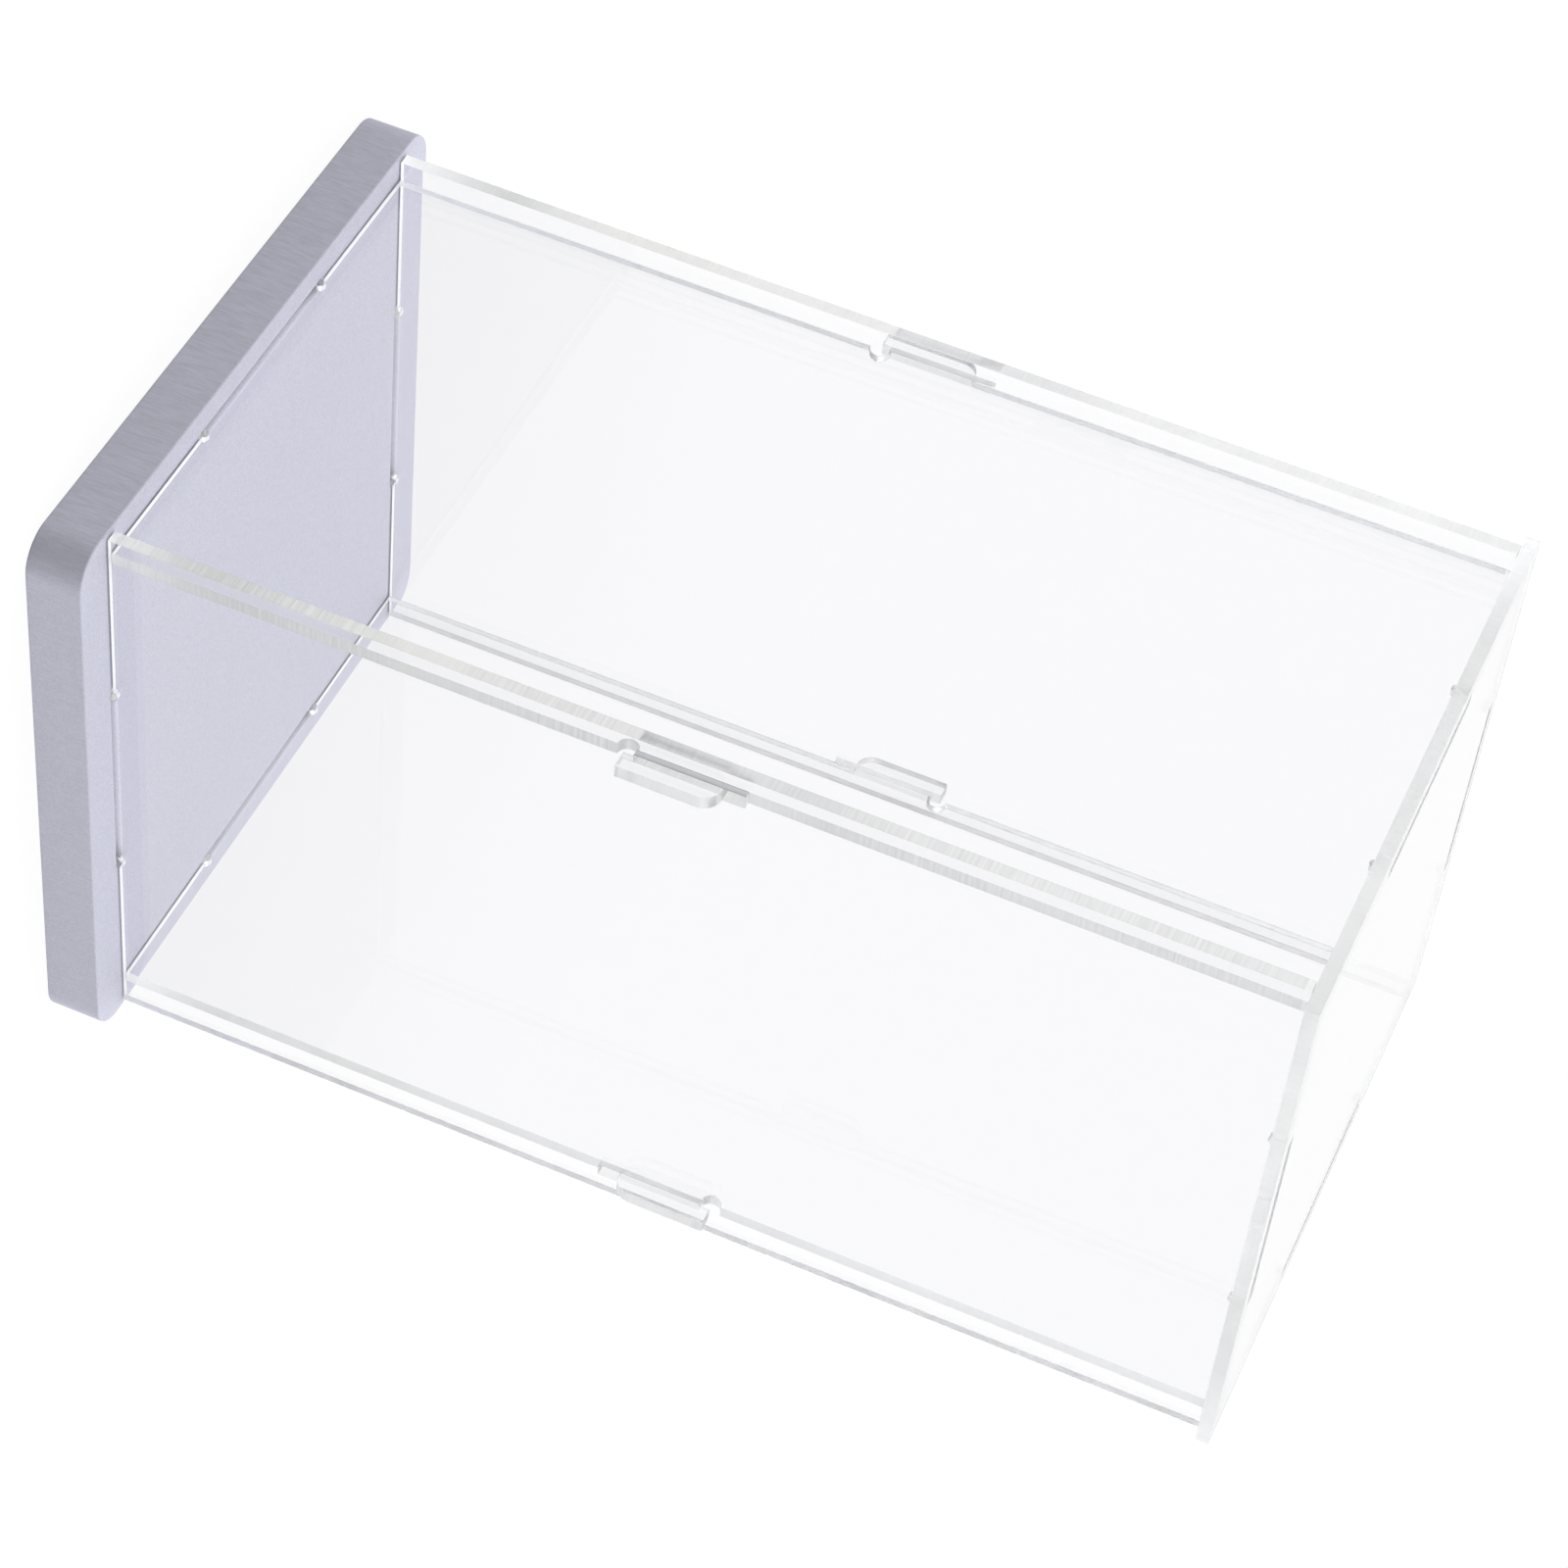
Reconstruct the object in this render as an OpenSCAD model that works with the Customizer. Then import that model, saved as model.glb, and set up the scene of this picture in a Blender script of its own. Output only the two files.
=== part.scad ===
// Display case for a figure: five clear sheets that hook into each other, standing on a slab.

/* [Clear sheets] */
// Thickness of every clear sheet
sheet_t = 2; // [1.5:0.1:3]
// Clear width inside, between the two narrow walls
inner_w = 84; // [70:1:140]
// Clear depth inside, between the two wide walls
inner_d = 84; // [70:1:140]
// Height of the walls, from the base to the top plate
wall_h = 168; // [100:1:260]
// How far the wide walls run past the narrow walls' outer faces
wide_overhang = 3.2; // [2:0.1:4.2]
// How far the top plate runs past the walls' outer faces
top_overhang = 2.6; // [1:0.1:6]

/* [Base] */
// How far the base runs past the narrow walls' outer faces
base_side_margin = 4.25; // [3.25:0.25:12]
// How far the base runs past the wide walls' outer faces
base_front_margin = 7; // [2:0.1:15]
// Thickness of the base
base_t = 8.3; // [5:0.1:15]
// Radius of the base's upright corners
base_corner_r = 5.5; // [1:0.1:8]

/* [Tabs] */
// Length of the tab in the middle of each wall's upper and lower edge
tab_w = 34.5; // [15:0.5:60]
// Radius of the round relief cut at each corner of a tab
tab_relief_r = 0.8; // [0.5:0.1:2]
// Play on each side of a tab or hook in its slot
slot_play = 0.1; // [0.05:0.05:0.3]
// Free depth under a tab in its groove in the base
groove_floor_gap = 0.5; // [0.1:0.1:2]

/* [Hooks] */
// Height of the hook's neck, where it goes through the wide wall
hook_neck_h = 12.5; // [6:0.1:30]
// How far the hook's lip reaches past the neck, behind the wide wall
hook_lip = 1.5; // [0.8:0.1:4]
// How far the hook stands out of the wide wall's outer face
hook_reach = 2.7; // [1.5:0.1:5]
// Radius of the hook's outer corner on the side away from the lip
hook_round_r = 2.6; // [0.5:0.1:3]
// Radius of the round relief cut beside the neck, on the lip's side
hook_relief_r = 1.5; // [0.5:0.1:2]
// How deep the relief cut bites into the neck's side
hook_relief_bite = 0.2; // [0.1:0.1:0.4]
// Length of a hook slot past what the whole hook needs to pass
hook_slot_spare = 1.8; // [0.4:0.1:6]

/* [Hidden] */
$fn = 64;
sheet_colour = [0.93, 0.95, 0.97, 0.4];
slab_colour = [0.80, 0.80, 0.86];
// How far a cut or a joined shape runs past the face that it meets
cut_over = 1;

// Outer size of the box that the four walls make
outer_w = inner_w + 2 * sheet_t;
outer_d = inner_d + 2 * sheet_t;
// Middle planes of the narrow and the wide walls
narrow_x = (inner_w + sheet_t) / 2;
wide_y = (inner_d + sheet_t) / 2;
// Heights of the walls' middle and of the top plate's under face
wall_mid_z = base_t + wall_h / 2;
top_z = base_t + wall_h;
// A tab ends flush with the top plate's outer face, and both ends of a wall are alike
tab_len = sheet_t;
groove_depth = tab_len + groove_floor_gap;
slot_w = sheet_t + 2 * slot_play;
slot_len = tab_w + 2 * slot_play;
// The hook slot lets the whole hook through, then the wall drops until the neck meets the slot's end
hook_slot_len = hook_neck_h + hook_lip + hook_slot_spare;
neck_low = slot_play - hook_slot_len / 2;
neck_high = neck_low + hook_neck_h;
// Height from the neck's side to the middle of the relief cut beside it
relief_offset = hook_relief_r - hook_relief_bite;
// The lip stays clear of the wide wall's outer face by the play
lip_start = sheet_t + slot_play;
hook_end = sheet_t + hook_reach;

// Rectangle with round corners, centred
module rounded_rectangle(width, depth, radius) {
    square([width - 2 * radius, depth], center = true);
    square([width, depth - 2 * radius], center = true);
    for (x = [-1, 1], y = [-1, 1])
        translate([x * (width / 2 - radius), y * (depth / 2 - radius)])
            circle(r = radius);
}

// Wall of the given width with a tab in the middle of its upper and lower edge
module tabbed_wall(width) {
    difference() {
        union() {
            square([width, wall_h], center = true);
            square([tab_w, wall_h + 2 * tab_len], center = true);
        }
        for (x = [-1, 1], y = [-1, 1])
            translate([x * tab_w / 2, y * wall_h / 2])
                circle(r = tab_relief_r);
    }
}

// Hook that stands out along +X from a wall's upright edge, lip downwards
module hook() {
    difference() {
        union() {
            translate([-cut_over, neck_low])
                square([cut_over + hook_end, hook_neck_h]);
            translate([lip_start, neck_low - hook_lip])
                square([hook_end - lip_start, hook_neck_h + hook_lip]);
        }
        translate([hook_end - hook_round_r, neck_high - hook_round_r])
            difference() {
                square(hook_round_r + cut_over);
                circle(r = hook_round_r);
            }
    }
}

// Relief cut below the neck of a hook
module hook_relief() {
    translate([0, neck_low - relief_offset])
        circle(r = hook_relief_r);
}

// Narrow wall: a hook on each upright edge
module narrow_outline() {
    difference() {
        union() {
            tabbed_wall(inner_d);
            for (side = [0, 1])
                mirror([side, 0])
                    translate([inner_d / 2, 0])
                        hook();
        }
        for (side = [0, 1])
            mirror([side, 0])
                translate([inner_d / 2, 0])
                    hook_relief();
    }
}

// Wide wall: a slot for a hook near each upright edge
module wide_outline() {
    difference() {
        tabbed_wall(outer_w + 2 * wide_overhang);
        for (side = [-1, 1])
            translate([side * narrow_x, 0])
                square([slot_w, hook_slot_len], center = true);
    }
}

// One slot of the given length for each wall's tab, as seen from above
module tab_slots(length) {
    for (side = [-1, 1]) {
        translate([0, side * wide_y])
            square([length, slot_w], center = true);
        translate([side * narrow_x, 0])
            square([slot_w, length], center = true);
    }
}

// Round ends that a cutter leaves on the grooves in the base
module groove_ends() {
    for (side = [-1, 1], end = [-1, 1]) {
        translate([end * slot_len / 2, side * wide_y])
            circle(d = slot_w);
        translate([side * narrow_x, end * slot_len / 2])
            circle(d = slot_w);
    }
}

// Upright sheet along X, with its outline's Y turned up
module sheet_along_x() {
    rotate([90, 0, 0])
        linear_extrude(sheet_t, center = true)
            children();
}

// Upright sheet along Y, with its outline's Y turned up
module sheet_along_y() {
    rotate([90, 0, 90])
        linear_extrude(sheet_t, center = true)
            children();
}

module base() {
    color(slab_colour)
        difference() {
            linear_extrude(base_t)
                rounded_rectangle(outer_w + 2 * base_side_margin, outer_d + 2 * base_front_margin, base_corner_r);
            translate([0, 0, base_t - groove_depth])
                linear_extrude(groove_depth + cut_over)
                    union() {
                        tab_slots(slot_len);
                        groove_ends();
                    }
        }
}

module front_panel() {
    color(sheet_colour)
        translate([0, -wide_y, wall_mid_z])
            sheet_along_x()
                wide_outline();
}

module back_panel() {
    color(sheet_colour)
        translate([0, wide_y, wall_mid_z])
            sheet_along_x()
                wide_outline();
}

module left_panel() {
    color(sheet_colour)
        translate([-narrow_x, 0, wall_mid_z])
            sheet_along_y()
                narrow_outline();
}

// The same sheet as the left wall, turned upside down, so its hooks point up
module right_panel() {
    color(sheet_colour)
        translate([narrow_x, 0, wall_mid_z])
            sheet_along_y()
                mirror([0, 1])
                    narrow_outline();
}

module top_panel() {
    color(sheet_colour)
        translate([0, 0, top_z])
            linear_extrude(sheet_t)
                difference() {
                    square([outer_w + 2 * top_overhang, outer_d + 2 * top_overhang], center = true);
                    tab_slots(slot_len);
                }
}

base();
front_panel();
back_panel();
left_panel();
right_panel();
top_panel();
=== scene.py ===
import math

import bmesh
import bpy
from bpy.props import FloatProperty, FloatVectorProperty, IntProperty, PointerProperty
from bpy.types import Operator, Panel, PropertyGroup
from mathutils import Matrix, Vector


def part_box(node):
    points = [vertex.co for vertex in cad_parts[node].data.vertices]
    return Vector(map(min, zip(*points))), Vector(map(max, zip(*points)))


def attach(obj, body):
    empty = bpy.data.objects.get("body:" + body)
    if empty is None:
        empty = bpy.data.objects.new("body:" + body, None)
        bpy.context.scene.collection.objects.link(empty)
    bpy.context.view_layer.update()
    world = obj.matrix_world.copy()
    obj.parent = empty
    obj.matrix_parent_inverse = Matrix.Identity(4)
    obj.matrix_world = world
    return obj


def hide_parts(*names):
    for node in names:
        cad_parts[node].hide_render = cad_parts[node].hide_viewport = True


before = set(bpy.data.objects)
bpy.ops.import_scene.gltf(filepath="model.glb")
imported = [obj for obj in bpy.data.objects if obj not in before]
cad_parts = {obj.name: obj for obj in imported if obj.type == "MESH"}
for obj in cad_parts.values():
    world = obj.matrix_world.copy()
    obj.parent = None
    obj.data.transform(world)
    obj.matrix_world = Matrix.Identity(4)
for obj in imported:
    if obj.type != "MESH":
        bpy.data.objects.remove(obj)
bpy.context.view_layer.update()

bl_info = {
    "name": "Figure display case",
    "version": (1, 0, 0),
    "blender": (4, 5, 0),
    "location": "View3D > Sidebar > Display case",
    "description": "Clear hooked-together sheets on a grey slab, with a white studio",
    "category": "Add Mesh",
}

MM = 0.001

_, SLAB_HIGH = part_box("base")
FRONT_LOW, FRONT_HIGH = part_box("front_panel")
BACK_LOW, BACK_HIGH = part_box("back_panel")
LEFT_LOW, LEFT_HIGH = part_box("left_panel")
RIGHT_LOW, RIGHT_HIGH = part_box("right_panel")
TOP_LOW, TOP_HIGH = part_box("top_panel")

# Clear faces. A grain is in lines per metre, and noise is used in its middle range
CLEAR_IOR = 1.49
NOISE_LOW, NOISE_HIGH = 0.3, 0.7
WIPE_GRAIN, WIPE_STRETCH, WIPE_DULL = 40.0, (1.0, 1.0, 0.25), 0.006
WAVE_GRAIN, WAVE_BUMP, WAVE_DEPTH = 25.0, 0.05, 0.02 * MM
# Painted shade: the clear faces are darker towards the slab
SLAB_SHADE_TONE, SLAB_SHADE_RISE = 0.975, 60 * MM
LAMP_PASS = (0.92, 0.92, 0.925, 1.0)

# Cut edges. A pair is what holds at 0 and at 1
LINE_GRAIN, LINE_STRETCH, LINE_STRENGTH = 2500.0, 0.02, (0.1, 0.4)
LINE_BUMP, LINE_RELIEF = 0.4, 0.05 * MM
PATCH_GRAIN, PATCH_LEAST = 45.0, 0.2
STREAK_GRAIN, STREAK_BLUR = 160.0, 0.15
EDGE_HAZE = 0.04
# Painted shade on the cut edges, deepest at the front left corner and slanted towards the back
SHADE_SLANT, CORNER_SHADE_TONE = 0.6, 0.85
FOOT_TINT_RISE = 70 * MM
FOOT_BLUR, FOOT_BLUR_RISE = 0.5, 40 * MM
HOOK_CLEARANCE = 0.05 * MM
SIDEWAYS_RANGE = (20 * MM, 80 * MM)
# The dark rim lines are painted shade. PALE_RIM is the share of it left at the front right and back left
# corners; CLEAR_SHARE is the share of matt left at the front right
PALE_RIM, CLEAR_SHARE, MATT_TONE = 0.15, 0.3, 0.96
RIM_COVER, SLOT_COVER = (0.45, 1.0), (0.25, 1.0)
FLAT_FACING = 0.7

# Slab finish
SATIN_IOR = 1.46
SPECKLE_GRAIN = 4500.0
CUTTER_GRAIN, CUTTER_STRETCH, CUTTER_PLAIN = 2600.0, (1.0, 1.0, 0.15), (0.75, 0.35)
SATIN_TONES, SATIN_ROUGHNESS = (0.86, 1.09), (0.7, 0.85)
SATIN_BUMP, SATIN_RELIEF = 0.2, 0.05 * MM

# Steps of the round shapes, and how close points are welded
RELIEF_STEPS, HOOK_STEPS, CORNER_STEPS, GROOVE_STEPS = 24, 16, 24, 12
RIM_BENDS = [math.radians(angle) for angle in (0, 30, 60, 90)]
WELD = 0.001 * MM

# Stage. Light runs far along a clear sheet before it leaves, so it may bounce often
LIGHT_BOUNCES = 96
FLOOR_DROP, FLOOR_TONE, FLOOR_GLOW = 0.02 * MM, 0.1, 0.91
LAMP_COLOUR, LAMP_SPREAD = (0.95, 0.97, 1.0), math.radians(70)
LAMPS = (
    # name, where it stands, level, whether it shows in gloss
    ("right_back", (0.8, 0.8, 0.9), 0.72, False),
    ("left_back", (-1.0, 0.85, 0.2), 0.71, True),
    ("right_front", (0.85, -1.0, 0.2), 1.0, True),
)
CAMERA_PLACE = (-0.486172, -0.422819, 0.229458)
CAMERA_AZIMUTH, CAMERA_ELEVATION, CAMERA_ROLL = -49.0841, 12.1441, -110.5309
SENSOR_WIDTH = 36.0


def length(name, description, millimetres):
    """A size that a user would change, given in millimetres and kept in metres."""
    return FloatProperty(
        name=name,
        description=description,
        default=millimetres * MM,
        min=0.0,
        precision=5,
        subtype="DISTANCE",
        unit="LENGTH",
    )


def colour(name, description, default):
    """A plain linear colour that a user would change."""
    return FloatVectorProperty(
        name=name, description=description, default=default, size=3, min=0.0, max=1.0, subtype="COLOR"
    )


class SheetSettings(PropertyGroup):
    """Sizes and finishes of the five clear sheets."""

    tab_width: length("Tab width", "Length of the tab on each wall's upper and lower edge", 34.5)
    tab_relief: length("Tab relief radius", "Round cut at each corner of a tab", 0.8)
    slot_play: length("Slot play", "Play on each side of a tab or hook in its slot", 0.1)
    hook_neck: length("Hook neck height", "Height of the hook where it goes through the wide wall", 12.5)
    hook_lip: length("Hook lip", "How far the lip reaches past the neck", 1.5)
    hook_round: length("Hook corner radius", "Outer corner of the hook on the side away from the lip", 2.6)
    hook_relief: length("Hook relief radius", "Round cut beside the neck, on the lip's side", 1.5)
    hook_bite: length("Hook relief bite", "How deep the round cut bites into the neck", 0.2)
    hook_spare: length("Hook slot spare", "Length of the hook slot past what the hook needs", 1.8)
    air_gap: length("Air gap", "Air left between a cut edge and the face that it stands against", 0.04)
    foot_gap: length("Foot gap", "Shadow gap under the walls, on the slab", 0.2)
    cut_pitch: length("Cut line pitch", "Distance between the fine lines on a cut edge", 0.4)
    cut_depth: length("Cut line depth", "Depth of the fine lines on a cut edge", 0.015)
    cut_seed: IntProperty(name="Cut line seed", description="Seed of the fine lines", default=7)
    rim_width: length("Rim width", "Width of the darker line along each rim of a cut edge", 0.3)
    face_tint: colour("Face tint", "What a sheet's faces let through", (0.955, 0.954, 0.961))
    edge_tint: colour("Edge tint", "Colour of the frosted cut edges", (0.99, 0.99, 0.985))
    foot_tint: colour("Foot tint", "Colour of the frosted cut edges near the slab", (0.92, 0.925, 0.875))
    # Painted shade: the dark rim lines seen from inside the sheet
    rim_shade_tint: colour("Rim tint", "Colour of the rim lines, seen from inside the sheet", (0.3, 0.3, 0.32))
    # Painted shade: the darker colour of the slots, deepest at the front left corner
    slot_shade_tint: colour("Slot tint", "Colour of the worn slots, seen from inside the sheet", (0.82, 0.82, 0.83))


class SlabSettings(PropertyGroup):
    """Sizes and finish of the slab."""

    corner_radius: length("Corner radius", "Radius of the slab's upright corners", 5.5)
    edge_round: length("Edge round", "Softening of the slab's upper and lower edges", 0.25)
    groove_rim: length("Groove rim", "Softening of the grooves' upper edges", 0.5)
    groove_gap: length("Groove floor gap", "Free depth under a tab in its groove", 0.5)
    paint: colour("Colour", "Satin grey of the slab", (0.60, 0.595, 0.68))
    # Painted light: the grooves are a lighter grey than the slab, to lift the shade that falls in them
    groove_painted_light: colour("Groove colour", "Lighter grey of the freshly cut grooves", (0.78, 0.775, 0.85))


class StageSettings(PropertyGroup):
    """Floor, light and camera."""

    floor_size: length("Floor size", "Side of the square floor", 8000.0)
    world_level: FloatProperty(
        name="Room level", description="Even light from all round", default=0.5, min=0.0
    )
    lens: FloatProperty(
        name="Lens", description="Focal length on a 36 mm wide sensor", default=107.661, unit="CAMERA"
    )


def sheet_settings():
    return bpy.context.scene.display_case_sheets


def slab_settings():
    return bpy.context.scene.display_case_slab


def stage_settings():
    return bpy.context.scene.display_case_stage


# Helpers for numbers, colours and nodes


def middle(low, high):
    return (low + high) / 2


def opaque(tint):
    return (*tint, 1.0)


def grey(level):
    return (level, level, level, 1.0)


def shaded(tint, share):
    return tuple(share * channel for channel in tint)


def new_material(name):
    """An empty node material, with its tree and its output."""
    material = bpy.data.materials.new(name)
    material.use_nodes = True
    tree = material.node_tree
    tree.nodes.clear()
    output = tree.nodes.new("ShaderNodeOutputMaterial")
    return material, tree, output


def add(tree, kind, links=None, **values):
    """A node of this kind: values set its properties, links feeds its inputs from sockets or constants."""
    node = tree.nodes.new(kind)
    for key, value in values.items():
        setattr(node, key, value)
    for key, value in (links or {}).items():
        socket = node.inputs[key]
        if isinstance(value, bpy.types.NodeSocket):
            tree.links.new(value, socket)
        else:
            socket.default_value = value
    return node


def own_place(tree):
    """X, Y and Z on the piece."""
    place = add(tree, "ShaderNodeTexCoord").outputs["Object"]
    return add(tree, "ShaderNodeSeparateXYZ", {"Vector": place}).outputs


def own_facing(tree):
    """X, Y and Z of the way that the surface faces."""
    facing = add(tree, "ShaderNodeNewGeometry").outputs["Normal"]
    return add(tree, "ShaderNodeSeparateXYZ", {"Vector": facing}).outputs


def grain(tree, scale, stretch=(1.0, 1.0, 1.0), detail=2.0):
    """Noise on the piece's own coordinates, in lines per metre, stretched along each axis."""
    place = add(tree, "ShaderNodeTexCoord").outputs["Object"]
    mapping = add(tree, "ShaderNodeMapping", {"Vector": place, "Scale": stretch})
    noise = {"Vector": mapping.outputs["Vector"], "Scale": scale, "Detail": detail}
    return add(tree, "ShaderNodeTexNoise", noise).outputs["Fac"]


def spread(tree, value, low, high, start=NOISE_LOW, end=NOISE_HIGH):
    """What lies between start and end, for noise its middle range, spread over low to high."""
    limits = {"From Min": start, "From Max": end, "To Min": low, "To Max": high}
    return add(tree, "ShaderNodeMapRange", {"Value": value, **limits}).outputs["Result"]


def between(tree, factor, first, second):
    """A colour between two, by the noise's middle range."""
    ramp = add(tree, "ShaderNodeValToRGB", {"Fac": factor})
    low, high = ramp.color_ramp.elements
    low.position, low.color = NOISE_LOW, opaque(first)
    high.position, high.color = NOISE_HIGH, opaque(second)
    return ramp.outputs["Color"]


def reckon(tree, operation, first, second=0.0):
    """One step of arithmetic on two values."""
    return add(tree, "ShaderNodeMath", {0: first, 1: second}, operation=operation).outputs["Value"]


def product(tree, first, *others):
    """Values multiplied one after the other."""
    for other in others:
        first = reckon(tree, "MULTIPLY", first, other)
    return first


def weigh(tree, factor, first, second):
    """A value between two."""
    links = {"Factor": factor, "A": first, "B": second}
    return add(tree, "ShaderNodeMix", links, data_type="FLOAT").outputs["Result"]


def blend(tree, kind, factor, first, second):
    """Two colours mixed or multiplied by a factor."""
    links = {"Factor": factor, 6: first, 7: second}
    return add(tree, "ShaderNodeMix", links, data_type="RGBA", blend_type=kind).outputs[2]


def mix_shader(tree, factor, first, second):
    return add(tree, "ShaderNodeMixShader", {0: factor, 1: first, 2: second}).outputs["Shader"]


# Finishes


def clear_faces():
    """Polished clear sheet: bends light, lets lamps through, with faint wipe marks, a slight wave and painted
    shade near the slab.
    """
    tint = sheet_settings().face_tint
    material, tree, output = new_material("clear_sheet_faces")
    wipe = grain(tree, WIPE_GRAIN, WIPE_STRETCH, detail=3.0)
    rise = spread(tree, own_place(tree)["Z"], 0.0, 1.0, SLAB_HIGH.z, SLAB_HIGH.z + SLAB_SHADE_RISE)
    # Painted shade, darker towards the slab
    slab_shade = blend(tree, "MIX", rise, grey(SLAB_SHADE_TONE), grey(1.0))
    bump = {"Strength": WAVE_BUMP, "Distance": WAVE_DEPTH, "Height": grain(tree, WAVE_GRAIN)}
    clear = add(
        tree,
        "ShaderNodeBsdfPrincipled",
        {
            "Base Color": blend(tree, "MULTIPLY", 1.0, slab_shade, opaque(tint)),
            "Roughness": spread(tree, wipe, 0.0, WIPE_DULL),
            "IOR": CLEAR_IOR,
            "Transmission Weight": 1.0,
            "Normal": add(tree, "ShaderNodeBump", bump).outputs["Normal"],
        },
    ).outputs["BSDF"]
    passing = add(tree, "ShaderNodeBsdfTransparent", {"Color": LAMP_PASS}).outputs["BSDF"]
    path = add(tree, "ShaderNodeLightPath").outputs
    lamps = mix_shader(tree, path["Is Shadow Ray"], clear, passing)
    room = mix_shader(tree, path["Is Diffuse Ray"], lamps, passing)
    tree.links.new(room, output.inputs["Surface"])
    return material


def painted_corner_shade(tree, place):
    """Painted shade of the cut edges, from 1 at the front left corner to 0 at the front right one."""
    slanted = reckon(tree, "ADD", place["X"], reckon(tree, "MULTIPLY", place["Y"], SHADE_SLANT))
    most, least = -RIGHT_HIGH.x - SHADE_SLANT * BACK_HIGH.y, RIGHT_HIGH.x - SHADE_SLANT * BACK_HIGH.y
    return spread(tree, slanted, 1.0, 0.0, most, least)


def cut_edges(name, across, low, high, slot_reach=0.0, tone=1.0, blur=0.3, slot_frost=1.0):
    """Frosted cut edge of the sheets that lie between low and high on one axis, on either side of zero.

    Fine lines run across the thickness, strongest at the front left corner, where painted shade also darkens
    the edge, and the feet on the slab are white. The slots lie within slot_reach and carry painted shade,
    deepest at the front left corner. Seen from inside the sheet the edge is matt, with a painted dark line
    along each rim that fades towards the front right and back left corners. Close to the slab the edge is
    rougher, which evens out what it shows of the grooves.
    """
    settings = sheet_settings()
    stretch = [1.0, 1.0, 1.0]
    stretch["XYZ".index(across)] = LINE_STRETCH
    material, tree, output = new_material(name)
    place = own_place(tree)
    away = {axis: reckon(tree, "ABSOLUTE", place[axis]) for axis in "XYZ"}
    outside = reckon(tree, "GREATER_THAN", reckon(tree, "MAXIMUM", away["X"], away["Y"]), slot_reach)
    below_top = reckon(tree, "LESS_THAN", place["Z"], TOP_LOW.z - MM)
    above_slab = reckon(tree, "GREATER_THAN", place["Z"], SLAB_HIGH.z - MM)
    beside_hooks = reckon(tree, "LESS_THAN", away["Y"], BACK_HIGH.y + HOOK_CLEARANCE)
    # Painted shade, 1 at the front left corner and 0 at the front right one; it also strengthens the fine
    # lines
    corner_dark = painted_corner_shade(tree, place)
    heavy_shade = product(tree, corner_dark, corner_dark, below_top, beside_hooks)
    mirror = add(tree, "ShaderNodeFresnel", {"IOR": CLEAR_IOR}).outputs["Fac"]

    fine = grain(tree, LINE_GRAIN, stretch)
    patches = spread(tree, grain(tree, PATCH_GRAIN), PATCH_LEAST, 1.0)
    strength = spread(tree, heavy_shade, *LINE_STRENGTH, 0.0, 1.0)
    lines = product(tree, patches, strength, spread(tree, fine, 1.0, 0.0))
    rise = spread(tree, place["Z"], 0.0, 1.0, SLAB_HIGH.z, SLAB_HIGH.z + FOOT_TINT_RISE)
    foot_tint, edge_tint = shaded(settings.foot_tint, tone), shaded(settings.edge_tint, tone)
    tint = blend(tree, "MIX", rise, opaque(foot_tint), opaque(edge_tint))
    # Painted shade darkens the edge towards the front left corner
    darkened = blend(tree, "MULTIPLY", heavy_shade, tint, grey(CORNER_SHADE_TONE))
    ridges = {"Strength": LINE_BUMP, "Distance": LINE_RELIEF, "Height": fine}
    share = spread(tree, outside, slot_frost, 1.0, 0.0, 1.0)
    sunk = spread(tree, place["Z"], FOOT_BLUR, 0.0, SLAB_HIGH.z, SLAB_HIGH.z + FOOT_BLUR_RISE)
    even = reckon(tree, "MULTIPLY", sunk, reckon(tree, "SUBTRACT", 1.0, mirror))
    streaks = spread(tree, grain(tree, STREAK_GRAIN, stretch, detail=1.0), blur, blur + STREAK_BLUR)
    frosted = add(
        tree,
        "ShaderNodeBsdfPrincipled",
        {
            "Base Color": blend(tree, "MULTIPLY", lines, darkened, grey(0.0)),
            "Roughness": reckon(tree, "MULTIPLY", share, reckon(tree, "ADD", even, streaks)),
            "IOR": CLEAR_IOR,
            "Transmission Weight": reckon(tree, "SUBTRACT", 1.0, reckon(tree, "MULTIPLY", share, EDGE_HAZE)),
            "Normal": add(tree, "ShaderNodeBump", ridges).outputs["Normal"],
        },
    ).outputs["BSDF"]

    half = (high - low) / 2
    depth = reckon(tree, "ABSOLUTE", reckon(tree, "SUBTRACT", away[across], middle(low, high)))
    rim = spread(tree, depth, 0.0, 1.0, half - settings.rim_width, half)
    flat = reckon(tree, "GREATER_THAN", reckon(tree, "ABSOLUTE", own_facing(tree)["Z"]), FLAT_FACING)
    slot = reckon(tree, "SUBTRACT", 1.0, reckon(tree, "MAXIMUM", outside, flat))
    sideways = reckon(tree, "SUBTRACT", place["X"], place["Y"])
    crisp = spread(tree, reckon(tree, "ABSOLUTE", sideways), 1.0, PALE_RIM, *SIDEWAYS_RANGE)
    line = reckon(tree, "MULTIPLY", rim, crisp)
    # Painted shade: a dark line along each rim, seen from inside the sheet
    white = blend(tree, "MIX", line, grey(MATT_TONE), opaque(settings.rim_shade_tint))
    # Painted shade in the slots, deepest at the front left corner
    shaded_slot = reckon(tree, "MULTIPLY", slot, corner_dark)
    shade = blend(tree, "MULTIPLY", shaded_slot, white, opaque(settings.slot_shade_tint))
    matt = add(tree, "ShaderNodeBsdfDiffuse", {"Color": shade}).outputs["BSDF"]

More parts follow.
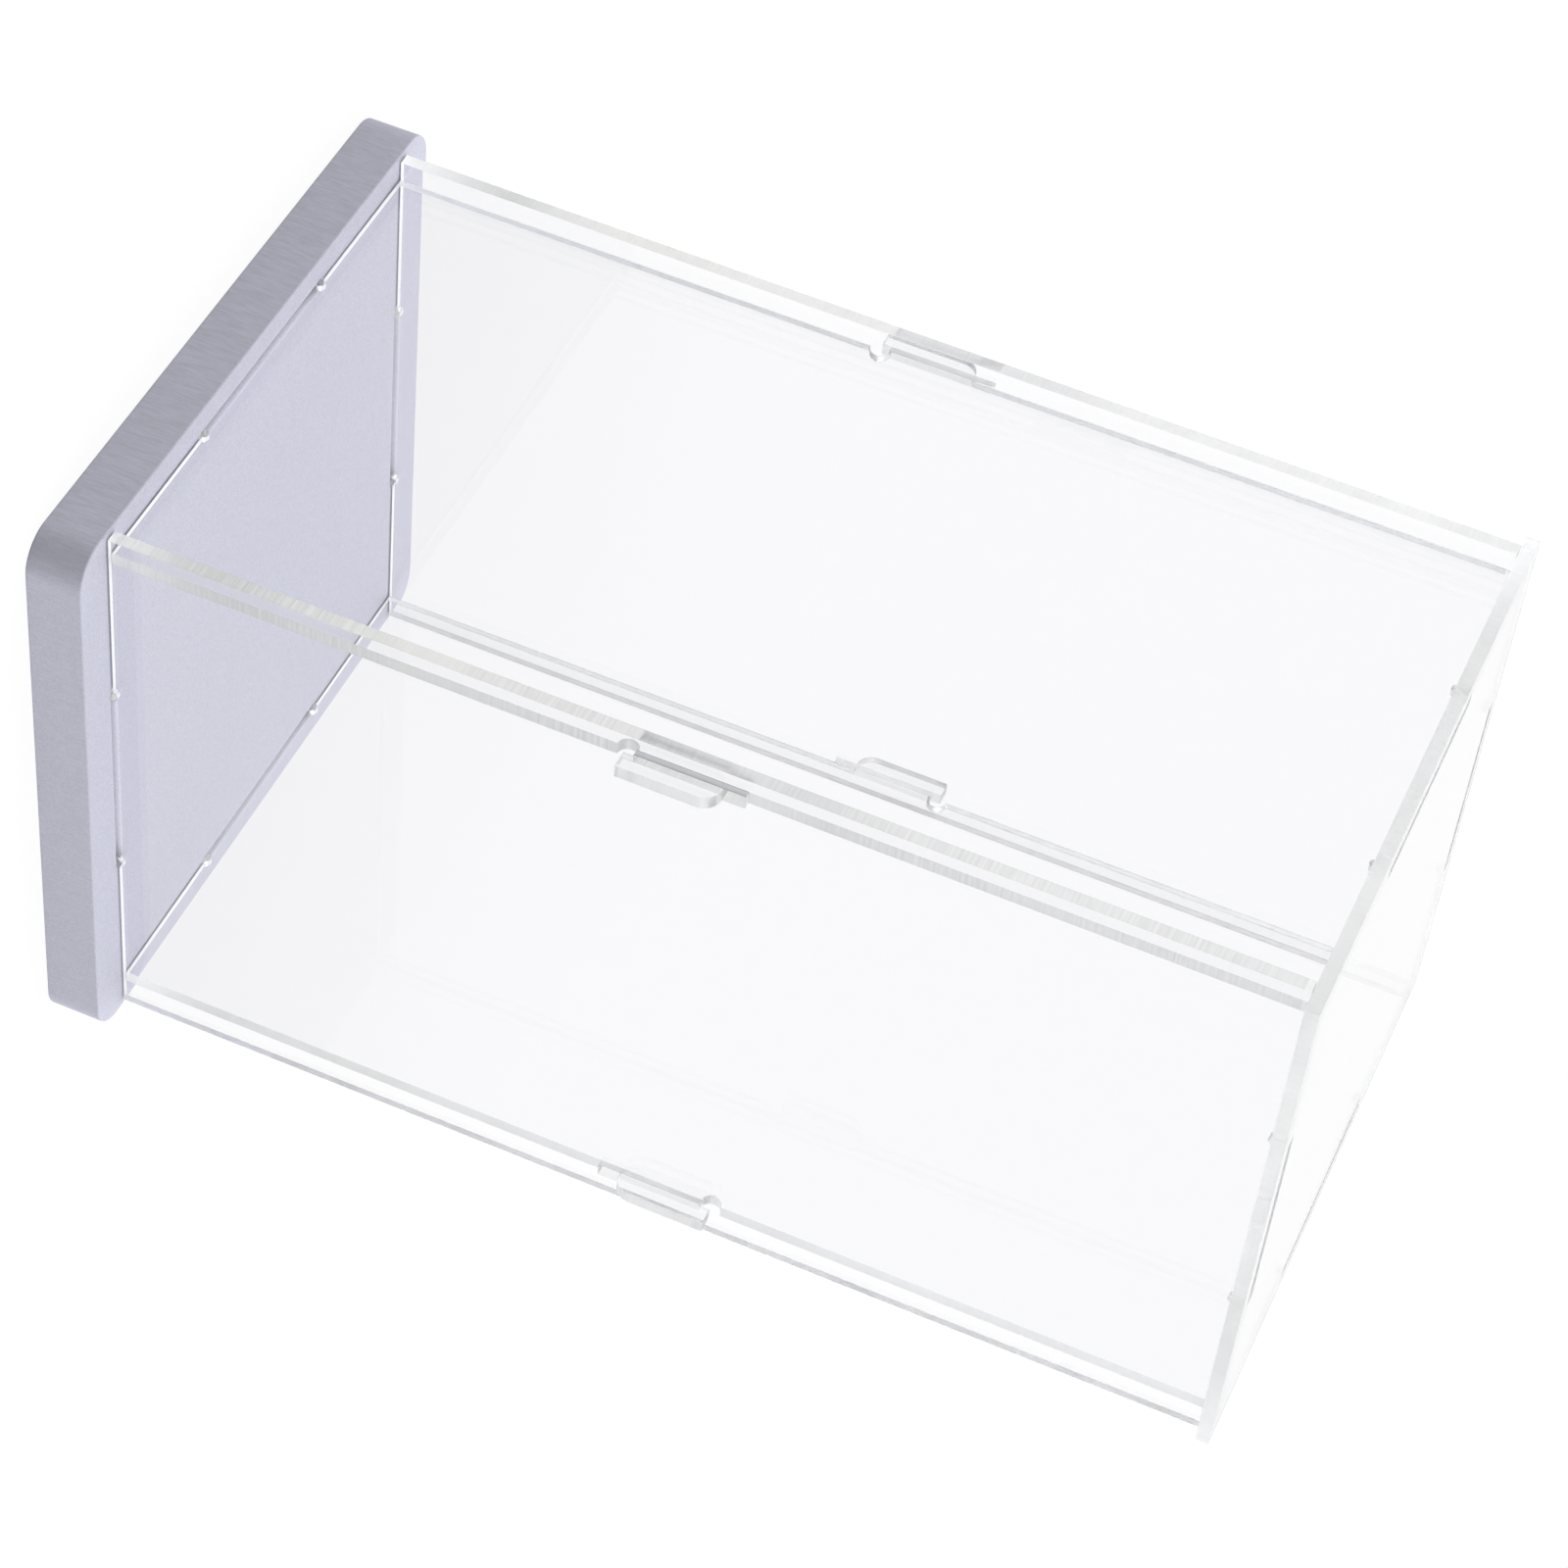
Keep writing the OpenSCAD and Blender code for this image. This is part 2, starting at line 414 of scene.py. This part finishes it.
    # Less of the matt, and of its painted shade, shows towards the front right corner
    clearer = spread(tree, sideways, 1.0, CLEAR_SHARE, *SIDEWAYS_RANGE)
    edge_cover = reckon(tree, "MULTIPLY", spread(tree, rim, *RIM_COVER, 0.0, 1.0), clearer)
    slot_cover = spread(tree, corner_dark, *SLOT_COVER, 0.0, 1.0)
    dull = product(tree, mirror, weigh(tree, slot, edge_cover, slot_cover), below_top)
    foot = reckon(tree, "MULTIPLY", flat, reckon(tree, "LESS_THAN", place["Z"], SLAB_HIGH.z + MM))
    covered = reckon(tree, "MULTIPLY", reckon(tree, "MAXIMUM", dull, foot), above_slab)
    tree.links.new(mix_shader(tree, covered, frosted, matt), output.inputs["Surface"])
    return material


def satin_slab(name, paint):
    """Satin grey slab: fine grain all over, and upright cutter lines on its left and right."""
    material, tree, output = new_material(name)
    speckle = grain(tree, SPECKLE_GRAIN)
    cutter = grain(tree, CUTTER_GRAIN, CUTTER_STRETCH)
    facing = own_facing(tree)
    plain = spread(tree, reckon(tree, "ABSOLUTE", facing["X"]), *CUTTER_PLAIN, 0.0, 1.0)
    sides = weigh(tree, plain, cutter, speckle)
    pattern = weigh(tree, reckon(tree, "ABSOLUTE", facing["Z"]), sides, speckle)
    relief = {"Strength": SATIN_BUMP, "Distance": SATIN_RELIEF, "Height": pattern}
    dark, light = (shaded(paint, share) for share in SATIN_TONES)
    satin = add(
        tree,
        "ShaderNodeBsdfPrincipled",
        {
            "Base Color": between(tree, pattern, dark, light),
            "Roughness": spread(tree, pattern, *SATIN_ROUGHNESS),
            "IOR": SATIN_IOR,
            "Specular IOR Level": 0.3,
            "Normal": add(tree, "ShaderNodeBump", relief).outputs["Normal"],
        },
    )
    tree.links.new(satin.outputs["BSDF"], output.inputs["Surface"])
    return material


# Outlines, in the sheet's own plane, with the material on the left of the path


def arc(centre, radius, start, end, steps):
    """Points on an arc from start to end, in degrees."""
    turn = [math.radians(start + (end - start) * step / steps) for step in range(steps + 1)]
    return [(centre[0] + radius * math.cos(a), centre[1] + radius * math.sin(a)) for a in turn]


def rectangle(centre, half_width, half_height):
    """A rectangle, its path going round to the left."""
    x, y = centre
    signs = [(-1, -1), (1, -1), (1, 1), (-1, 1)]
    return [(x + i * half_width, y + j * half_height) for i, j in signs]


def half_turned(points):
    return [(-x, -y) for x, y in points]


def tabbed_edge(half_width, half_height, tab_length, gap, settings):
    """Lower edge of a wall from left to right: its tab with a round relief at each corner."""
    half_tab, relief, low = settings.tab_width / 2, settings.tab_relief, -half_height
    drop = math.degrees(math.asin(gap / relief))
    foot = low - tab_length
    return [
        (-half_width, low + gap),
        *arc((-half_tab, low), relief, 180 - drop, -90, RELIEF_STEPS),
        (-half_tab, foot),
        (half_tab, foot),
        *arc((half_tab, low), relief, -90, -360 + drop, RELIEF_STEPS),
        (half_width, low + gap),
    ]


def hook_slot(settings):
    """Length of a slot that a whole hook goes through."""
    return settings.hook_neck + settings.hook_lip + settings.hook_spare


def hooked_edge(half_width, settings, lip_down):
    """Right edge of a narrow wall going up: a hook with a round relief below its neck."""
    thickness = TOP_HIGH.z - TOP_LOW.z
    neck_low = settings.slot_play - hook_slot(settings) / 2
    neck_high = neck_low + settings.hook_neck
    face = half_width - settings.air_gap
    radius = settings.hook_relief
    offset = radius - settings.hook_bite
    meet = math.degrees(math.asin(offset / radius))
    leave = math.degrees(math.acos(settings.air_gap / radius))
    lip_start = half_width + thickness + settings.slot_play
    end = LEFT_HIGH.y
    corner = settings.hook_round
    bite = (half_width, neck_low - offset)
    relief = arc(bite, radius, -180 + leave, -360 + meet, RELIEF_STEPS)
    points = [
        (face, relief[0][1]),
        *relief[1:],
        (lip_start, neck_low),
        (lip_start, neck_low - settings.hook_lip),
        (end, neck_low - settings.hook_lip),
        *arc((end - corner, neck_high - corner), corner, 0, 90, HOOK_STEPS),
        (face, neck_high),
    ]
    if lip_down:
        return points
    return [(x, -y) for x, y in reversed(points)]


def mirrored_left(points):
    """The same edge on the left, going down."""
    return [(-x, y) for x, y in reversed(points)]


def wide_outline(settings):
    """A wide wall and its two hook slots."""
    half_width = FRONT_HIGH.x
    half_height = (TOP_LOW.z - SLAB_HIGH.z) / 2
    tab_length = SLAB_HIGH.z - FRONT_LOW.z
    lower = tabbed_edge(half_width, half_height, tab_length, settings.foot_gap, settings)
    upper = half_turned(tabbed_edge(half_width, half_height, tab_length, settings.air_gap, settings))
    half_slot = hook_slot(settings) / 2
    narrow_middle = middle(RIGHT_LOW.x, RIGHT_HIGH.x)
    slot_width = (RIGHT_HIGH.x - RIGHT_LOW.x) / 2 + settings.slot_play
    slots = [rectangle((side * narrow_middle, 0.0), slot_width, half_slot) for side in (-1, 1)]
    return [lower + upper] + [slot[::-1] for slot in slots]


def narrow_outline(settings, lip_down):
    """A narrow wall with a hook on each upright edge."""
    half_width = -FRONT_HIGH.y
    half_height = (TOP_LOW.z - SLAB_HIGH.z) / 2
    tab_length = SLAB_HIGH.z - LEFT_LOW.z
    standing = half_width - settings.air_gap
    lower = tabbed_edge(standing, half_height, tab_length, settings.foot_gap, settings)
    upper = half_turned(tabbed_edge(standing, half_height, tab_length, settings.air_gap, settings))
    right = hooked_edge(half_width, settings, lip_down)
    return [lower + right + upper + mirrored_left(right)]


def top_outline(settings):
    """The top plate and a slot for each wall's tab."""
    slot_length = settings.tab_width / 2 + settings.slot_play
    slot_width = (TOP_HIGH.z - TOP_LOW.z) / 2 + settings.slot_play
    wide_middle = middle(FRONT_LOW.y, FRONT_HIGH.y)
    narrow_middle = middle(LEFT_LOW.x, LEFT_HIGH.x)
    slots = []
    for side in (-1, 1):
        slots.append(rectangle((0.0, side * wide_middle), slot_length, slot_width))
        slots.append(rectangle((side * narrow_middle, 0.0), slot_width, slot_length))
    return [rectangle((0.0, 0.0), TOP_HIGH.x, TOP_HIGH.y)] + [slot[::-1] for slot in slots]


# Sheets, by Geometry Nodes


def cut_sheet_tree():
    """Node tree that turns closed outlines into a sheet whose cut edges carry fine lines."""
    tree = bpy.data.node_groups.new("Cut sheet", "GeometryNodeTree")
    face = tree.interface
    face.new_socket("Outline", in_out="INPUT", socket_type="NodeSocketGeometry")
    for name in ("Thickness", "Line Pitch", "Line Depth"):
        face.new_socket(name, in_out="INPUT", socket_type="NodeSocketFloat")
    face.new_socket("Seed", in_out="INPUT", socket_type="NodeSocketInt")
    for name in ("Face Finish", "Edge Finish"):
        face.new_socket(name, in_out="INPUT", socket_type="NodeSocketMaterial")
    face.new_socket("Sheet", in_out="OUTPUT", socket_type="NodeSocketGeometry")
    given = add(tree, "NodeGroupInput").outputs
    path = add(tree, "GeometryNodeMeshToCurve", {"Mesh": given["Outline"]})

    here = add(tree, "GeometryNodeInputPosition").outputs["Position"]
    following = add(tree, "GeometryNodeOffsetPointInCurve", {"Offset": 1})
    there = add(
        tree,
        "GeometryNodeFieldAtIndex",
        {"Index": following.outputs["Point Index"], "Value": here},
        data_type="FLOAT_VECTOR",
    )
    stretch = add(tree, "ShaderNodeVectorMath", {0: here, 1: there.outputs["Value"]}, operation="DISTANCE")
    parts = reckon(tree, "DIVIDE", stretch.outputs["Value"], given["Line Pitch"])
    finer = add(tree, "GeometryNodeSubdivideCurve", {"Curve": path.outputs["Curve"], "Cuts": parts})

    along = add(tree, "GeometryNodeInputTangent")
    inward = add(
        tree,
        "ShaderNodeVectorMath",
        {0: (0.0, 0.0, 1.0), 1: along.outputs["Tangent"]},
        operation="CROSS_PRODUCT",
    )
    chance = add(tree, "FunctionNodeRandomValue", {"Seed": given["Seed"]}, data_type="FLOAT")
    depth = reckon(tree, "MULTIPLY", chance.outputs[1], given["Line Depth"])
    moved = {0: inward.outputs["Vector"], "Scale": depth}
    shift = add(tree, "ShaderNodeVectorMath", moved, operation="SCALE")
    lined = add(
        tree,
        "GeometryNodeSetPosition",
        {"Geometry": finer.outputs["Curve"], "Offset": shift.outputs["Vector"]},
    )

    filled = add(tree, "GeometryNodeFillCurve", {"Curve": lined.outputs["Geometry"]})
    under = add(tree, "GeometryNodeFlipFaces", {"Mesh": filled.outputs["Mesh"]})
    raised = add(
        tree,
        "GeometryNodeExtrudeMesh",
        {
            "Mesh": filled.outputs["Mesh"],
            "Offset": (0.0, 0.0, 1.0),
            "Offset Scale": given["Thickness"],
            "Individual": False,
        },
    )
    marked = add(
        tree,
        "GeometryNodeStoreNamedAttribute",
        {"Geometry": raised.outputs["Mesh"], "Name": "cut_edge", "Value": raised.outputs["Side"]},
        data_type="BOOLEAN",
        domain="FACE",
    )
    both = add(tree, "GeometryNodeJoinGeometry")
    tree.links.new(marked.outputs["Geometry"], both.inputs["Geometry"])
    tree.links.new(under.outputs["Mesh"], both.inputs["Geometry"])
    joined = {"Geometry": both.outputs["Geometry"], "Distance": WELD}
    welded = add(tree, "GeometryNodeMergeByDistance", joined)
    down = add(tree, "ShaderNodeCombineXYZ", {"Z": reckon(tree, "MULTIPLY", given["Thickness"], -0.5)})
    centred = add(
        tree,
        "GeometryNodeTransform",
        {"Geometry": welded.outputs["Geometry"], "Translation": down.outputs["Vector"]},
    )
    real = add(tree, "GeometryNodeRealizeInstances", {"Geometry": centred.outputs["Geometry"]})
    faces = add(
        tree,
        "GeometryNodeSetMaterial",
        {"Geometry": real.outputs["Geometry"], "Material": given["Face Finish"]},
    )
    cut = add(tree, "GeometryNodeInputNamedAttribute", {"Name": "cut_edge"}, data_type="BOOLEAN")
    edges = add(
        tree,
        "GeometryNodeSetMaterial",
        {
            "Geometry": faces.outputs["Geometry"],
            "Selection": cut.outputs["Attribute"],
            "Material": given["Edge Finish"],
        },
    )
    add(tree, "NodeGroupOutput", {"Sheet": edges.outputs["Geometry"]})
    return tree


def outline_mesh(name, loops):
    """Closed loops of edges in the XY plane."""
    points, edges = [], []
    for loop in loops:
        first = len(points)
        points += [(x, y, 0.0) for x, y in loop]
        edges += [(first + i, first + (i + 1) % len(loop)) for i in range(len(loop))]
    mesh = bpy.data.meshes.new(name)
    mesh.from_pydata(points, edges, [])
    return mesh


def make_sheet(name, node, body, loops, place, thickness, edge_finish):
    """A clear sheet in its place, standing for its CAD node."""
    settings = sheet_settings()
    tree = bpy.data.node_groups.get("Cut sheet") or cut_sheet_tree()
    face_finish = bpy.data.materials.get("clear_sheet_faces") or clear_faces()
    piece = bpy.data.objects.new(name, outline_mesh(name + "_outline", loops))
    bpy.context.scene.collection.objects.link(piece)
    maker = piece.modifiers.new("Cut sheet", "NODES")
    maker.node_group = tree
    wanted = {
        "Thickness": thickness,
        "Line Pitch": settings.cut_pitch,
        "Line Depth": settings.cut_depth,
        "Seed": settings.cut_seed,
        "Face Finish": face_finish,
        "Edge Finish": edge_finish,
    }
    for socket in tree.interface.items_tree:
        if socket.in_out == "INPUT" and socket.name in wanted:
            maker[socket.identifier] = wanted[socket.name]
    view = bpy.context.evaluated_depsgraph_get()
    mesh = bpy.data.meshes.new_from_object(piece.evaluated_get(view))
    mesh.name = name
    piece.modifiers.remove(maker)
    mesh.transform(place)
    piece.data = mesh
    if not mesh.polygons:
        raise RuntimeError(f"the sheet {name} came out empty")
    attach(piece, body)
    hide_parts(node)


# Operators


class CASE_OT_slab(Operator):
    """Make the grey slab with its four grooves"""

    bl_idname = "display_case.slab"
    bl_label = "Slab"

    def execute(self, context):
        make_slab()
        return {"FINISHED"}


class CASE_OT_wide_walls(Operator):
    """Make the front and back walls with their hook slots"""

    bl_idname = "display_case.wide_walls"
    bl_label = "Wide walls"

    def execute(self, context):
        settings = sheet_settings()
        reach = RIGHT_HIGH.x + MM
        finish = cut_edges("cut_edges_wide_walls", "Y", BACK_LOW.y, BACK_HIGH.y, slot_reach=reach)
        height = middle(SLAB_HIGH.z, TOP_LOW.z)
        upright = Matrix.Rotation(math.pi / 2, 4, "X")
        for name, node, low, high in (
            ("front_sheet", "front_panel", FRONT_LOW, FRONT_HIGH),
            ("back_sheet", "back_panel", BACK_LOW, BACK_HIGH),
        ):
            place = Matrix.Translation((0.0, middle(low.y, high.y), height)) @ upright
            make_sheet(name, node, "walls", wide_outline(settings), place, high.y - low.y, finish)
        return {"FINISHED"}


class CASE_OT_narrow_walls(Operator):
    """Make the left wall, hooks down, and the right wall, hooks up"""

    bl_idname = "display_case.narrow_walls"
    bl_label = "Narrow walls"

    def execute(self, context):
        settings = sheet_settings()
        finish = cut_edges("cut_edges_narrow_walls", "X", RIGHT_LOW.x, RIGHT_HIGH.x, tone=0.97)
        height = middle(SLAB_HIGH.z, TOP_LOW.z)
        upright = Matrix.Rotation(math.pi / 2, 4, "Z") @ Matrix.Rotation(math.pi / 2, 4, "X")
        for name, node, low, high, lip_down in (
            ("left_sheet", "left_panel", LEFT_LOW, LEFT_HIGH, True),
            ("right_sheet", "right_panel", RIGHT_LOW, RIGHT_HIGH, False),
        ):
            place = Matrix.Translation((middle(low.x, high.x), 0.0, height)) @ upright
            loops = narrow_outline(settings, lip_down)
            make_sheet(name, node, "walls", loops, place, high.x - low.x, finish)
        return {"FINISHED"}


class CASE_OT_top_plate(Operator):
    """Make the top plate with a slot for each wall's tab"""

    bl_idname = "display_case.top_plate"
    bl_label = "Top plate"

    def execute(self, context):
        settings = sheet_settings()
        finish = cut_edges(
            "cut_edges_top_plate",
            "Z",
            TOP_LOW.z,
            TOP_HIGH.z,
            slot_reach=RIGHT_HIGH.x + MM,
            blur=0.6,
            slot_frost=0.0,
        )
        place = Matrix.Translation((0.0, 0.0, middle(TOP_LOW.z, TOP_HIGH.z)))
        thickness = TOP_HIGH.z - TOP_LOW.z
        make_sheet("top_sheet", "top_panel", "top", top_outline(settings), place, thickness, finish)
        return {"FINISHED"}


class CASE_OT_stage(Operator):
    """Set the white floor, the soft light and the camera"""

    bl_idname = "display_case.stage"
    bl_label = "Stage"

    def execute(self, context):
        make_floor()
        make_world()
        make_lamps()
        make_camera()
        context.scene.view_settings.view_transform = "Standard"
        cycles = context.scene.cycles
        cycles.max_bounces = cycles.glossy_bounces = cycles.transmission_bounces = LIGHT_BOUNCES
        return {"FINISHED"}


# Slab


def rounded_loop(half_width, half_depth, radius):
    """A rectangle with round corners, its path going round to the left."""
    x, y = half_width - radius, half_depth - radius
    corners = [((x, y), 0), ((-x, y), 90), ((-x, -y), 180), ((x, -y), 270)]
    rounds = [arc(centre, radius, start, start + 90, CORNER_STEPS) for centre, start in corners]
    return [point for bend in rounds for point in bend]


def groove_loop(centre, half_length, radius, along_x):
    """A groove with round ends."""
    ends = arc((half_length, 0.0), radius, -90, 90, GROOVE_STEPS)
    ends += arc((-half_length, 0.0), radius, 90, 270, GROOVE_STEPS)
    if not along_x:
        ends = [(-y, x) for x, y in ends]
    return [(centre[0] + x, centre[1] + y) for x, y in ends]


def ring(bm, loop, z):
    return [bm.verts.new((x, y, z)) for x, y in loop]


def skin(bm, lower, upper):
    """A band of faces between two rings, facing out where the path goes round to the left."""
    turn = [(i, (i + 1) % len(lower)) for i in range(len(lower))]
    return [bm.faces.new((lower[i], lower[j], upper[j], upper[i])) for i, j in turn]


def loop_edges(bm, verts):
    return [bm.edges.get((verts[i], verts[(i + 1) % len(verts)])) for i in range(len(verts))]


def make_slab():
    """The slab: softened rims, and four grooves cut into its upper face."""
    slab, sheets = slab_settings(), sheet_settings()
    half_width, half_depth, height = SLAB_HIGH.x, SLAB_HIGH.y, SLAB_HIGH.z
    soft, rim = slab.edge_round, slab.groove_rim
    bm = bmesh.new()

    def outer(inset, z):
        loop = rounded_loop(half_width - inset, half_depth - inset, slab.corner_radius - inset)
        return ring(bm, loop, z)

    levels = [(soft * (1 - math.sin(a)), soft * (1 - math.cos(a))) for a in RIM_BENDS]
    levels += [(inset, height - z) for inset, z in reversed(levels)]
    rings = [outer(inset, z) for inset, z in levels]
    for lower, upper in zip(rings, rings[1:]):
        skin(bm, lower, upper)
    bm.faces.new(rings[0][::-1])
    borders = loop_edges(bm, rings[-1])

    depth = SLAB_HIGH.z - FRONT_LOW.z + slab.groove_gap
    half_length = sheets.tab_width / 2 + sheets.slot_play
    radius = (FRONT_HIGH.y - FRONT_LOW.y) / 2 + sheets.slot_play
    wide_middle = middle(FRONT_LOW.y, FRONT_HIGH.y)
    narrow_middle = middle(LEFT_LOW.x, LEFT_HIGH.x)
    places = [((0.0, s * wide_middle), True) for s in (-1, 1)]
    places += [((s * narrow_middle, 0.0), False) for s in (-1, 1)]
    for centre, along_x in places:
        steps = [
            (radius + rim * (1 - math.sin(a)), height - rim * (1 - math.cos(a))) for a in RIM_BENDS
        ]
        steps.append((radius, height - depth))
        walls = [ring(bm, groove_loop(centre, half_length, r, along_x), z) for r, z in steps]
        cut = [bm.faces.new(walls[-1])]
        for upper, lower in zip(walls, walls[1:]):
            cut += skin(bm, upper, lower)
        for face in cut:
            face.material_index = 1
        borders += loop_edges(bm, walls[0])
    bmesh.ops.triangle_fill(bm, edges=borders, use_beauty=True, normal=(0.0, 0.0, 1.0))

    mesh = bpy.data.meshes.new("slab")
    bmesh.ops.recalc_face_normals(bm, faces=bm.faces)
    bm.to_mesh(mesh)
    bm.free()
    mesh.materials.append(satin_slab("satin_grey_slab", slab.paint))
    # Painted light: the grooves get a lighter grey than the slab, to lift the shade in them
    mesh.materials.append(satin_slab("grooves_painted_lighter", slab.groove_painted_light))
    piece = bpy.data.objects.new("slab", mesh)
    bpy.context.scene.collection.objects.link(piece)
    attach(piece, "base")
    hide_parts("base")


# Stage


def seen_rays(tree):
    """1 for rays that show the background: seen straight, mirrored or through the sheets."""
    path = add(tree, "ShaderNodeLightPath").outputs
    straight = reckon(tree, "MAXIMUM", path["Is Camera Ray"], path["Is Glossy Ray"])
    return reckon(tree, "MAXIMUM", straight, path["Is Transmission Ray"])


def make_floor():
    """White floor that keeps a faint shadow."""
    half = stage_settings().floor_size / 2
    mesh = bpy.data.meshes.new("floor")
    corners = [(x, y, -FLOOR_DROP) for x, y in rectangle((0.0, 0.0), half, half)]
    mesh.from_pydata(corners, [], [(0, 1, 2, 3)])
    material, tree, output = new_material("white_floor")
    paper = add(tree, "ShaderNodeBsdfDiffuse", {"Color": grey(FLOOR_TONE)})
    level = reckon(tree, "MULTIPLY", seen_rays(tree), FLOOR_GLOW)
    glow = add(tree, "ShaderNodeEmission", {"Color": grey(1.0), "Strength": level})
    lit = add(tree, "ShaderNodeAddShader", {0: paper.outputs["BSDF"], 1: glow.outputs["Emission"]})
    tree.links.new(lit.outputs["Shader"], output.inputs["Surface"])
    mesh.materials.append(material)
    floor = bpy.data.objects.new("floor", mesh)
    bpy.context.scene.collection.objects.link(floor)


def make_world():
    """Even room light, white where it is seen."""
    world = bpy.data.worlds.new("white_room")
    bpy.context.scene.world = world
    world.use_nodes = True
    tree = world.node_tree
    tree.nodes.clear()
    level = stage_settings().world_level
    strength = spread(tree, seen_rays(tree), level, 1.0, 0.0, 1.0)
    air = add(tree, "ShaderNodeBackground", {"Color": grey(1.0), "Strength": strength})
    output = add(tree, "ShaderNodeOutputWorld")
    tree.links.new(air.outputs["Background"], output.inputs["Surface"])


def make_lamps():
    """A soft lamp behind the case and one from each side. Only the side lamps show in gloss."""
    for name, towards, level, in_gloss in LAMPS:
        lamp = bpy.data.lights.new(name, "SUN")
        lamp.energy, lamp.angle = math.pi * level, LAMP_SPREAD
        lamp.color = LAMP_COLOUR
        holder = bpy.data.objects.new(name, lamp)
        holder.visible_glossy, holder.visible_transmission = in_gloss, False
        holder.rotation_euler = Vector(towards).to_track_quat("Z", "Y").to_euler()
        bpy.context.scene.collection.objects.link(holder)


def make_camera():
    """The camera where the photograph was taken from, rolled as it was."""
    turns = (CAMERA_AZIMUTH, CAMERA_ELEVATION, CAMERA_ROLL)
    azimuth, elevation, roll = (math.radians(turn) for turn in turns)
    forward = Vector(
        (
            -math.sin(azimuth) * math.cos(elevation),
            math.cos(azimuth) * math.cos(elevation),
            -math.sin(elevation),
        )
    )
    level = forward.cross(Vector((0.0, 0.0, 1.0))).normalized()
    below = forward.cross(level)
    right = math.cos(roll) * level + math.sin(roll) * below
    up = right.cross(forward)
    lens = bpy.data.cameras.new("camera")
    lens.sensor_width = SENSOR_WIDTH
    lens.lens = stage_settings().lens
    lens.clip_start, lens.clip_end = 0.01, 50.0
    camera = bpy.data.objects.new("camera", lens)
    turned = Matrix((right, up, -forward)).transposed().to_4x4()
    camera.matrix_world = Matrix.Translation(CAMERA_PLACE) @ turned
    bpy.context.scene.collection.objects.link(camera)
    bpy.context.scene.camera = camera


class CASE_PT_sidebar(Panel):
    """Sizes and steps of the display case"""

    bl_idname = "CASE_PT_sidebar"
    bl_label = "Display case"
    bl_space_type = "VIEW_3D"
    bl_region_type = "UI"
    bl_category = "Display case"

    def draw(self, context):
        layout = self.layout
        for settings in (slab_settings(), sheet_settings(), stage_settings()):
            box = layout.box()
            for name in settings.__annotations__:
                box.prop(settings, name)
        for operator in OPERATORS:
            layout.operator(operator.bl_idname)


OPERATORS = (CASE_OT_slab, CASE_OT_wide_walls, CASE_OT_narrow_walls, CASE_OT_top_plate, CASE_OT_stage)
SETTINGS = {
    "display_case_slab": SlabSettings,
    "display_case_sheets": SheetSettings,
    "display_case_stage": StageSettings,
}


def register():
    for name, settings in SETTINGS.items():
        bpy.utils.register_class(settings)
        setattr(bpy.types.Scene, name, PointerProperty(type=settings))
    for item in (*OPERATORS, CASE_PT_sidebar):
        bpy.utils.register_class(item)


def unregister():
    for item in (CASE_PT_sidebar, *reversed(OPERATORS)):
        bpy.utils.unregister_class(item)
    for name, settings in reversed(SETTINGS.items()):
        delattr(bpy.types.Scene, name)
        bpy.utils.unregister_class(settings)


def main():
    register()
    bpy.ops.display_case.slab()
    bpy.ops.display_case.wide_walls()
    bpy.ops.display_case.narrow_walls()
    bpy.ops.display_case.top_plate()
    bpy.ops.display_case.stage()


if __name__ == "__main__":
    main()
